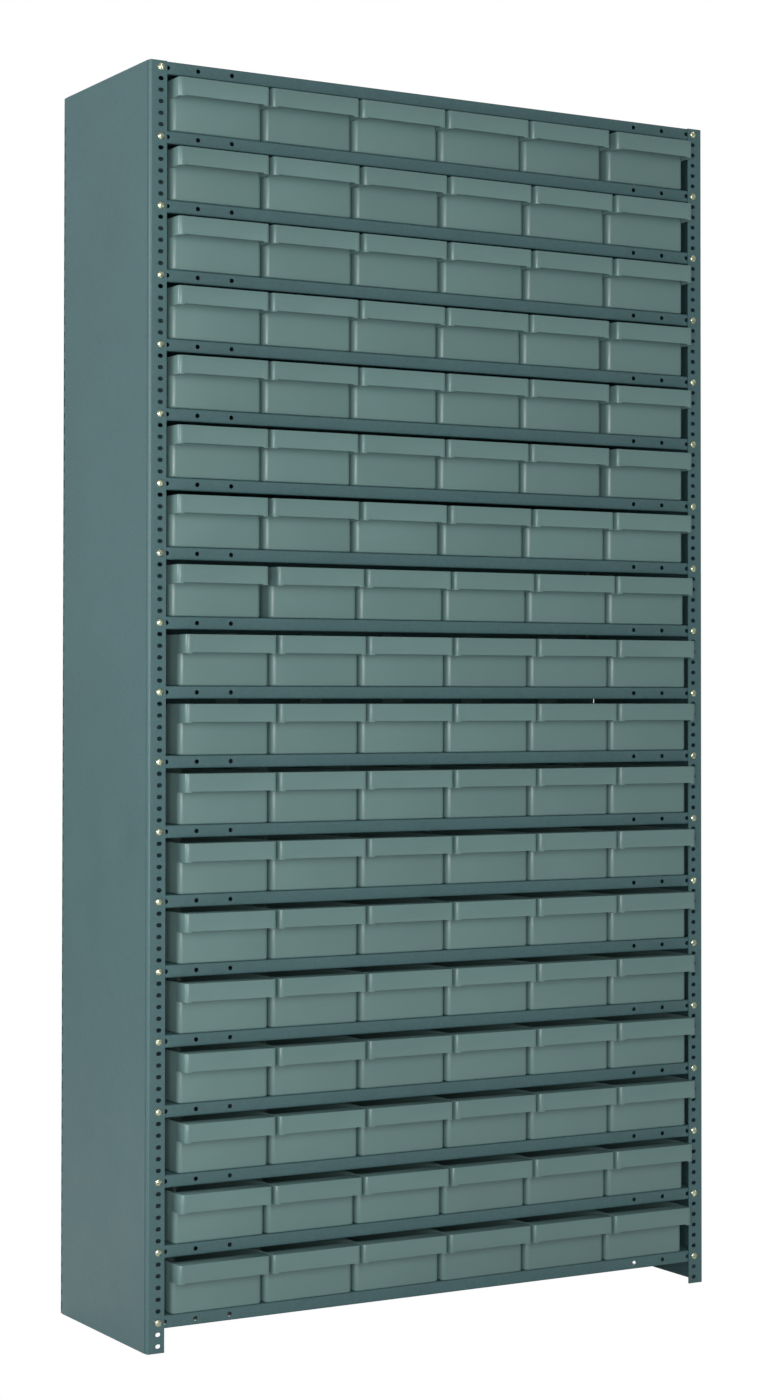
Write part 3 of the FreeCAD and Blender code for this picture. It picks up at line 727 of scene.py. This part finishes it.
shelfPattern = makeShelfPattern()
for node, count in shelfCounts.items():
    low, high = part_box(node)
    step = (high.z - low.z - shelf["lipHeight"]) / max(count - 1, 1)
    spots = [(0, low.y, low.z + shelf["lipHeight"] + level * step) for level in range(count)]
    piece = placePieces(node + "Steel", shelfPattern, blueGreyEnamel, spots, [(0, 0, 0)] * count)
    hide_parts(node)
    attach(piece, "frame")
bpy.data.objects.remove(shelfPattern)
print("shelves punched and folded")


# Shelf bolts and nuts

bolt = {
    "headHeight": 3.2 * mm,
    "headRim": 0.6 * mm,         # straight edge below the dome
    "slotWidth": 1.3 * mm,
    "slotDepth": 1.5 * mm,
    "shankRadius": 3 * mm,
    "shankLength": 12 * mm,
    "tipRadius": 2.4 * mm,
    "tipBevel": 0.6 * mm,
    "steps": 20,
    "domeStep": 15,              # degrees
    "seed": 7,
}
nut = {
    "flats": 10 * mm,
    "thickness": 5 * mm,
    "chamfer": 0.6 * mm,
    "chamferShare": 0.9,         # corner radius of its end faces, as a share of the full one
    "bore": 3.1 * mm,
    "corners": 6,
    "seed": 11,
}
chanceTurn = math.pi             # bolts and nuts are tightened to any angle
boltX = (cadHigh.x - cadLow.x) / 2 - shelf["boltInset"]
boltLow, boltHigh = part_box("shelf_bolts")
nutLow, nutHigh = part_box("shelf_nuts")
headRadius = (boltHigh.x - boltLow.x) / 2 - boltX


def lathe(work, profile, steps):
    # Turns a profile of (radius, height) about Z. A radius of 0 closes it
    rings = []
    for radius, height in profile:
        if radius == 0:
            rings.append([work.verts.new((0, 0, height))] * steps)
        else:
            rings.append([work.verts.new((radius * math.cos(2 * math.pi * k / steps),
                                          radius * math.sin(2 * math.pi * k / steps), height))
                          for k in range(steps)])
    for lower, upper in zip(rings, rings[1:]):
        for k in range(steps):
            corners = []
            for vertex in (lower[k], lower[(k + 1) % steps], upper[(k + 1) % steps], upper[k]):
                if vertex not in corners:
                    corners.append(vertex)
            if len(corners) > 2:
                work.faces.new(corners)


def makeBoltPattern():
    # From its seat, with its head up and the screwdriver slot cut into the dome
    rim, top = bolt["headRim"], bolt["headHeight"]
    shank, tip = bolt["shankRadius"], -bolt["shankLength"]

    def buildBody(work):
        dome = [(headRadius * math.cos(math.radians(a)), rim + (top - rim) * math.sin(math.radians(a)))
                for a in range(0, 90, bolt["domeStep"])]
        lathe(work, [(0, tip), (bolt["tipRadius"], tip), (shank, tip + bolt["tipBevel"]), (shank, 0),
                     (headRadius, 0), *dome, (0, top)], bolt["steps"])

    def buildSlot(work):
        # Longer than the head is wide, and half of it stands above the dome
        size = (2.4 * headRadius, bolt["slotWidth"], 2 * bolt["slotDepth"])
        place = Matrix.Translation((0, 0, top)) @ Matrix.Diagonal((*size, 1))
        bmesh.ops.create_cube(work, size=1, matrix=place)

    pattern = newObject("boltPattern", closedMesh("boltPattern", buildBody))
    cutter = newObject("slotCutter", closedMesh("slotCutter", buildSlot))
    cut = pattern.modifiers.new("slot", "BOOLEAN")
    cut.operation = "DIFFERENCE"
    cut.object = cutter
    graph = bpy.context.evaluated_depsgraph_get()
    mesh = bpy.data.meshes.new_from_object(pattern.evaluated_get(graph))
    pattern.modifiers.remove(cut)
    pattern.data = smoothMesh(mesh)
    bpy.data.objects.remove(cutter)
    return pattern


def makeNutPattern():
    bore, thick, chamfer = nut["bore"], nut["thickness"], nut["chamfer"]
    corner = nut["flats"] / math.sqrt(3)
    endCorner = corner * nut["chamferShare"]
    profile = [(bore, 0), (endCorner, 0), (corner, chamfer), (corner, thick - chamfer),
               (endCorner, thick), (bore, thick), (bore, 0)]

    def buildNut(work):
        lathe(work, profile, nut["corners"])

    return newObject("nutPattern", closedMesh("nutPattern", buildNut))


def boltSpots(front, rear):
    # Places and facings for a piece at each bolt, whose seats are at these Y values
    count = sum(shelfCounts.values())
    first, last = boltLow.z + headRadius, boltHigh.z - headRadius
    places, facings = [], []
    for level in range(count):
        z = first + (last - first) * level / (count - 1)
        for x in (-boltX, boltX):
            places += [(x, front, z), (x, rear, z)]
            facings += [(math.pi / 2, 0, 0), (math.pi / 2, 0, math.pi)]
    return places, facings


boltPattern = makeBoltPattern()
places, facings = boltSpots(boltLow.y + bolt["headHeight"], boltHigh.y - bolt["headHeight"])
bolts = placePieces("zincBolts", boltPattern, brightZinc, places, facings, chanceTurn, bolt["seed"])
smoothMesh(bolts.data)
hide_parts("shelf_bolts")
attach(bolts, "frame")

nutPattern = makeNutPattern()
places, facings = boltSpots(nutLow.y + nut["thickness"], nutHigh.y - nut["thickness"])
nuts = placePieces("zincNuts", nutPattern, brightZinc, places, facings, chanceTurn, nut["seed"])
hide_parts("shelf_nuts")
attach(nuts, "frame")
for pattern in (boltPattern, nutPattern):
    bpy.data.objects.remove(pattern)
print("bolts and nuts placed")


# Drawers

tray = {
    "wall": 2.4 * mm,
    "cornerRadius": 8 * mm,
    "cornerSteps": 5,
    "footRadius": 3 * mm,
    "footStep": 30,              # degrees
    "floorRadius": 2 * mm,       # inside, where the walls meet the floor
    "floorBulge": 0.6 * mm,      # the middle of that curve, from the walls and the floor
    "rimRadius": 0.7 * mm,
    "rimBulge": 0.21 * mm,       # the middle of the rim's curve, from its corner
    "leastRadius": 0.6 * mm,     # no upright corner is sharper
    "gripReach": 26 * mm,
    "gripHeight": 28.3 * mm,
    "gripCorner": 5 * mm,
    "gripSteps": 4,
    "gripEnd": 9 * mm,           # ends of the grip that reach lower
    "gripDrop": 1.6 * mm,
    "gripSunk": 0.3 * mm,        # the grip's back runs inside the tray's wall, from that deep
    "gripSunkMore": 1.2 * mm,    # to that much deeper
    "stopWidth": 40 * mm,
    "stopHeight": 11 * mm,
    "stopRadius": 3 * mm,
}


def bridge(work, rings):
    # Faces between each ring and the next, and over both ends
    for lower, upper in zip(rings, rings[1:]):
        for k in range(len(lower)):
            after = (k + 1) % len(lower)
            work.faces.new((lower[k], lower[after], upper[after], upper[k]))
    work.faces.new(rings[0])
    work.faces.new(rings[-1])


def trayRing(work, width, length, inset, height):
    # Rounded outline of the tray, drawn in by an inset
    radius = max(tray["cornerRadius"] - inset, tray["leastRadius"])
    side, back = width / 2 - inset - radius, length - inset - radius
    front = inset + radius
    corners = [((side, front), 270), ((side, back), 0), ((-side, back), 90), ((-side, front), 180)]
    return [work.verts.new((x, y, height)) for centre, start in corners
            for x, y in arcPoints(centre, radius, start, start + 90, tray["cornerSteps"])]


def buildTray(work, width, length, height):
    foot, wall, rim, bulge = tray["footRadius"], tray["wall"], tray["rimRadius"], tray["rimBulge"]
    outside = [(foot * (1 - math.sin(math.radians(a))), foot * (1 - math.cos(math.radians(a))))
               for a in range(0, 91, tray["footStep"])]
    edge = [(0, height - rim), (bulge, height - bulge), (rim, height),
            (wall - rim, height), (wall - bulge, height - bulge), (wall, height - rim)]
    inside = [(wall, wall + tray["floorRadius"]), (wall + tray["floorBulge"], wall + tray["floorBulge"]),
              (wall + tray["floorRadius"], wall)]
    bridge(work, [trayRing(work, width, length, inset, z) for inset, z in outside + edge + inside])


def gripRing(work, width, inset, height, follow):
    # Outline of the grip. Its back runs inside the tray's front wall. Where follow is true,
    # the height goes along the lower edge, which is raised between the two ends
    half, reach, drop, steps = width / 2, tray["gripReach"], tray["gripDrop"], tray["gripSteps"]
    radius = max(tray["gripCorner"] - inset, tray["leastRadius"])
    sunk = tray["gripSunk"] + (1 - inset / tray["wall"]) * tray["gripSunkMore"]
    bend = tray["cornerRadius"]
    side, front = half - inset - radius, inset + radius - reach
    end = half - tray["gripEnd"]
    points = [*arcPoints((-side, front), radius, 180, 270, steps),
              *[(x, inset - reach) for x in (-end, drop - end, end - drop, end)],
              *arcPoints((side, front), radius, 270, 360, steps), (half - inset, bend),
              *arcPoints((half - bend, bend), bend - sunk, 0, -90, steps),
              *arcPoints((bend - half, bend), bend - sunk, 270, 180, steps), (inset - half, bend)]
    ring = []
    for x, y in points:
        raised = follow and y < inset + making["hair"] - reach and abs(x) < end - drop / 2
        ring.append(work.verts.new((x, y, height + drop if raised else height)))
    return ring


def buildGrip(work, width, height):
    wall, rim, bulge = tray["wall"], tray["rimRadius"], tray["rimBulge"]
    low = height - tray["gripHeight"]
    levels = [(wall, height - wall, False), (wall, low + rim, True), (wall - bulge, low + bulge, True),
              (wall - rim, low, True), (rim, low, True), (bulge, low + bulge, True), (0, low + rim, True),
              (0, height - rim, False), (bulge, height - bulge, False), (rim, height, False)]
    bridge(work, [gripRing(work, width, inset, z, follow) for inset, z, follow in levels])


def buildStop(work, length, height):
    half, wall, bend, steps = tray["stopWidth"] / 2, tray["wall"], tray["stopRadius"], tray["gripSteps"]
    top = height + tray["stopHeight"]
    outline = [(-half, height - wall), (half, height - wall),
               *arcPoints((half - bend, top - bend), bend, 0, 90, steps),
               *arcPoints((bend - half, top - bend), bend, 90, 180, steps)]
    bridge(work, [[work.verts.new((x, y, z)) for x, z in outline] for y in (length - wall, length)])


def makeTrayPattern():
    # One drawer, from the middle of its front at its floor
    low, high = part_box("drawer_tier06_col1")
    width = high.x - low.x
    length = high.y - low.y - tray["gripReach"]
    height = high.z - low.z - tray["stopHeight"]
    parts = []
    for build, sizes in ((buildTray, (width, length, height)), (buildGrip, (width, height)),
                         (buildStop, (length, height))):
        mesh = closedMesh(build.__name__, lambda work: build(work, *sizes))
        mesh.materials.append(greyGreenPlastic)
        parts.append((mesh, Matrix.Identity(4)))
    return newObject("trayPattern", joined("trayPattern", parts))


def trayMiddles(node):
    # X of each drawer of a node, from the corners of the stops, its highest points
    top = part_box(node)[1].z
    corners = sorted({round(vertex.co.x, 5) for vertex in nodes[node].data.vertices
                      if vertex.co.z > top - making["hair"]})
    return [(left + right) / 2 for left, right in zip(corners[::2], corners[1::2])]


trayPattern = makeTrayPattern()
drawerNodes = sorted(node for node in nodes if node.startswith("drawer"))
for seed, node in enumerate(drawerNodes):
    low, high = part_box(node)
    spots = [(x, low.y + tray["gripReach"], low.z) for x in trayMiddles(node)]
    piece = placePieces(node + "Plastic", trayPattern, greyGreenPlastic, spots, [(0, 0, 0)] * len(spots),
                        seed=seed)
    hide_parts(node)
    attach(piece, node)
bpy.data.objects.remove(trayPattern)


# Flat panels keep their CAD shape

for node in ("left_side_panel", "right_side_panel", "back_panel"):
    panel = nodes[node]
    panel.data.materials.clear()
    panel.data.materials.append(blueGreyEnamel)
print("panels painted")
